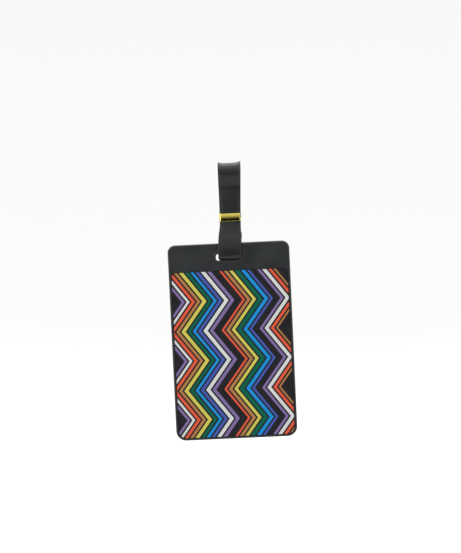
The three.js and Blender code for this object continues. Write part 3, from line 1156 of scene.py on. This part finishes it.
def make_paper(name, low_colour, high_colour, roughness, ruled):
    material, tree, shader, place = new_material(name, Roughness=roughness)
    out = use_group(tree, paper_fibres, Place=place)
    colour = mix_colours(tree, ramp(tree, out["Fibres"], 0.3, 0.7, 0.0, 1.0), low_colour, high_colour)
    if ruled:
        colour = mix_colours(tree, ruled_lines(tree, place), colour, (0.10, 0.12, 0.16, 1))
    tree.links.new(colour, shader.inputs["Base Color"])
    bump = add(tree, "ShaderNodeBump", {"Height": out["Fibres"], "Strength": 0.3, "Distance": 0.02 * MM})
    tree.links.new(bump.outputs["Normal"], shader.inputs["Normal"])
    return material


# %% Rules on the card
RULE_WIDTH = 0.35 * MM
RULE_MARGIN = 6.5 * MM
RULE_PITCH = 13 * MM
RULES_END = 14 * MM


def ruled_lines(tree, place):
    """White on the card's printed rules, which run up the card, and on a thin frame."""
    parts = add(tree, "ShaderNodeSeparateXYZ", {"Vector": place}).outputs
    middle_x, middle_z = (card_low.x + card_high.x) / 2, (card_low.z + card_high.z) / 2
    x = sum_of(tree, "ABSOLUTE", sum_of(tree, "SUBTRACT", parts["X"], middle_x))
    z = sum_of(tree, "ABSOLUTE", sum_of(tree, "SUBTRACT", parts["Z"], middle_z))
    half_x, half_z = (card_high.x - card_low.x) / 2, (card_high.z - card_low.z) / 2
    down = sum_of(tree, "SUBTRACT", card_high.z - RULES_END, parts["Z"])
    beat = sum_of(tree, "PINGPONG", down, RULE_PITCH / 2)
    on_rule = sum_of(tree, "LESS_THAN", beat, RULE_WIDTH / 2)
    across = sum_of(tree, "LESS_THAN", x, half_x - RULE_MARGIN)
    along = sum_of(tree, "LESS_THAN", z, half_z - RULES_END + MM)
    rules = sum_of(tree, "MULTIPLY", sum_of(tree, "MULTIPLY", on_rule, across), along)
    edge_x = sum_of(tree, "SUBTRACT", half_x - 3 * MM, x)
    edge_z = sum_of(tree, "SUBTRACT", half_z - 3 * MM, z)
    inside = sum_of(tree, "MINIMUM", edge_x, edge_z)
    line = sum_of(tree, "LESS_THAN", sum_of(tree, "ABSOLUTE", inside), RULE_WIDTH / 2)
    return sum_of(tree, "MAXIMUM", rules, line)


card_paper = make_paper("card paper", (0.74, 0.72, 0.66, 1), (0.84, 0.82, 0.76, 1), 0.8, ruled=True)
board_grey = make_paper("stiffener board", (0.30, 0.23, 0.16, 1), (0.42, 0.33, 0.23, 1), 0.9, ruled=False)
paint(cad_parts["name_card"], card_paper)
paint(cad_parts["stiffener_board"], board_grey)
print("window, card and board done")

# %% [markdown]
# ## Studio
#
# The tag hangs in a round, pale studio, so that every view has the same plain background. The
# floor turns up into a wall: half a profile is drawn once and spun round. The wall is hidden
# from glossy and diffuse rays, so it neither shows in the gilt nor lights the tag. Shiny pieces
# mirror a sky that is bright above and dim in front, as a room is, and dull ones get even light.

# %% Floor and wall
FLOOR_DROP = 0.16
STUDIO_RADIUS, COVE_RADIUS, WALL_HEIGHT = 2.2, 0.7, 1.6


def make_studio():
    bm = bmesh.new()
    floor_z = design_box[0].z - FLOOR_DROP
    verts = [bm.verts.new((0, 0, floor_z)), bm.verts.new((STUDIO_RADIUS - COVE_RADIUS, 0, floor_z))]
    bm.edges.new(verts)
    made = bmesh.ops.spin(
        bm, geom=[verts[1]], cent=(verts[1].co.x, 0, floor_z + COVE_RADIUS), axis=(0, -1, 0),
        angle=math.radians(90), steps=16, use_duplicate=False,
    )
    top = bmesh.ops.extrude_vert_indiv(bm, verts=verts_of(made["geom_last"]))
    bmesh.ops.translate(bm, verts=top["verts"], vec=(0, 0, WALL_HEIGHT))
    bmesh.ops.spin(
        bm, geom=bm.verts[:] + bm.edges[:], cent=(0, 0, 0), axis=(0, 0, 1),
        angle=math.radians(360), steps=96, use_merge=True, use_duplicate=False,
    )
    bmesh.ops.remove_doubles(bm, verts=bm.verts, dist=0.01 * MM)
    studio = as_piece(bm, "studio")
    studio.data.shade_smooth()
    studio.visible_glossy = False
    studio.visible_diffuse = False
    return studio


studio = make_studio()
pale, _, pale_shader, _ = new_material("studio paint", Roughness=0.9)
pale_shader.inputs["Base Color"].default_value = (0.80, 0.80, 0.79, 1)
pale_shader.inputs["Specular IOR Level"].default_value = 0.0
pale_shader.inputs["Emission Color"].default_value = (1.0, 1.0, 0.99, 1)
pale_shader.inputs["Emission Strength"].default_value = 0.42
studio.data.materials.append(pale)

# %% Lights
def soft_light(name, place, target, size, power):
    light = bpy.data.lights.new(name, "AREA")
    light.shape = "RECTANGLE"
    light.size, light.size_y = size
    light.energy = power
    lamp = bpy.data.objects.new(name, light)
    lamp.location = place
    lamp.rotation_euler = (Vector(target) - Vector(place)).to_track_quat("-Z", "Y").to_euler()
    scene.collection.objects.link(lamp)
    return lamp


middle = (design_box[0] + design_box[1]) / 2
LIGHTS = (
    ("overhead softbox", (0.0, 0.1, 1.1), (1.0, 0.9), 7),
    ("left softbox", (-1.0, -0.8, 0.35), (0.8, 1.0), 5),
    ("right softbox", (1.1, -0.5, 0.3), (0.5, 1.0), 3.5),
    ("back softbox", (0.2, 1.3, 0.7), (1.2, 0.8), 4),
)
for name, offset, size, power in LIGHTS:
    soft_light(name, middle + Vector(offset), middle, size, power)
print("lights:", len(LIGHTS))

# %% Sky
AMBIENT = 0.6
WALL_GLOW, UPPER_SHADE, CEILING_GLOW, FLOOR_GLOW, SIDE_GLOW = 0.78, -0.35, 1.1, 0.8, 0.45


def make_sky():
    """Even light for the surfaces, and a room for shiny ones to mirror."""
    world = bpy.data.worlds.new("studio sky")
    world.use_nodes = True
    tree = world.node_tree
    place = add(tree, "ShaderNodeTexCoord").outputs["Generated"]
    parts = add(tree, "ShaderNodeSeparateXYZ", {"Vector": place}).outputs
    wall = ramp(tree, parts["Z"], -0.01, 0.06, 0.0, WALL_GLOW)
    shade = ramp(tree, parts["Z"], 0.2, 0.4, 0.0, UPPER_SHADE)
    ceiling = ramp(tree, parts["Z"], 0.25, 0.6, 0.0, CEILING_GLOW)
    floor = ramp(tree, parts["Z"], -0.33, -0.18, FLOOR_GLOW, 0.0)
    aside = ramp(tree, sum_of(tree, "ABSOLUTE", parts["X"]), 0.3, 0.5, 0.0, SIDE_GLOW)
    beside = sum_of(tree, "MULTIPLY", aside, ramp(tree, wall, 0.0, WALL_GLOW, 1.0, 0.0))
    upper = sum_of(tree, "ADD", sum_of(tree, "ADD", wall, shade), ceiling)
    mirrored = sum_of(tree, "ADD", upper, sum_of(tree, "ADD", floor, beside))
    kind = add(tree, "ShaderNodeLightPath").outputs["Is Glossy Ray"]
    level = add(tree, "ShaderNodeMix", {0: kind, 2: AMBIENT, 3: mirrored}, data_type="FLOAT").outputs[0]
    colour = add(tree, "ShaderNodeCombineColor", {"Red": level, "Green": level, "Blue": level})
    tree.links.new(colour.outputs[0], tree.nodes["Background"].inputs["Color"])
    tree.nodes["Background"].inputs["Strength"].default_value = 1.0
    return world


scene.world = make_sky()
print("studio radius and floor height:", STUDIO_RADIUS, design_box[0].z - FLOOR_DROP)

# %% [markdown]
# ## Camera
#
# The camera looks at the printed face nearly square on, from a hand's breadth more than half a
# metre, a little from above and from the right. It is rolled by a few degrees, so that the tag
# lies slightly turned in its frame.

# %% Camera
VIEW_HEIGHT = 294.9 * MM
VIEW_DISTANCE = 620 * MM
VIEW_ELEVATION, VIEW_AZIMUTH, VIEW_ROLL = 2.2, 0.4, -2.68
AIM_ASIDE, AIM_ABOVE = 0.47 * MM, 34.54 * MM
SENSOR = 36

camera_data = bpy.data.cameras.new("camera")
camera_data.sensor_fit = "VERTICAL"
camera_data.sensor_height = SENSOR
camera_data.sensor_width = SENSOR
camera_data.lens = SENSOR * VIEW_DISTANCE / VIEW_HEIGHT
camera = bpy.data.objects.new("camera", camera_data)
scene.collection.objects.link(camera)
aim = Vector((tag_middle + AIM_ASIDE, front_face, (tag_top + tag_bottom) / 2 + AIM_ABOVE))
azimuth, elevation = math.radians(VIEW_AZIMUTH), math.radians(VIEW_ELEVATION)
back_off = Vector((
    math.sin(azimuth) * math.cos(elevation), -math.cos(azimuth) * math.cos(elevation), math.sin(elevation),
))
camera.location = aim + back_off * VIEW_DISTANCE
look = (-back_off).to_track_quat("-Z", "Y").to_matrix()
roll = Matrix.Rotation(math.radians(VIEW_ROLL), 3, "Z")
camera.rotation_euler = (look @ roll).to_euler()
scene.camera = camera
scene.view_settings.view_transform = "Standard"
print("camera at", camera.location)

# %% [markdown]
# ## The design's box
#
# The box of the design, measured when it was loaded, is printed. The finished model has
# to stay as large as the design.

# %% Print the design's box
print("design box:", [list(c) for c in design_box])
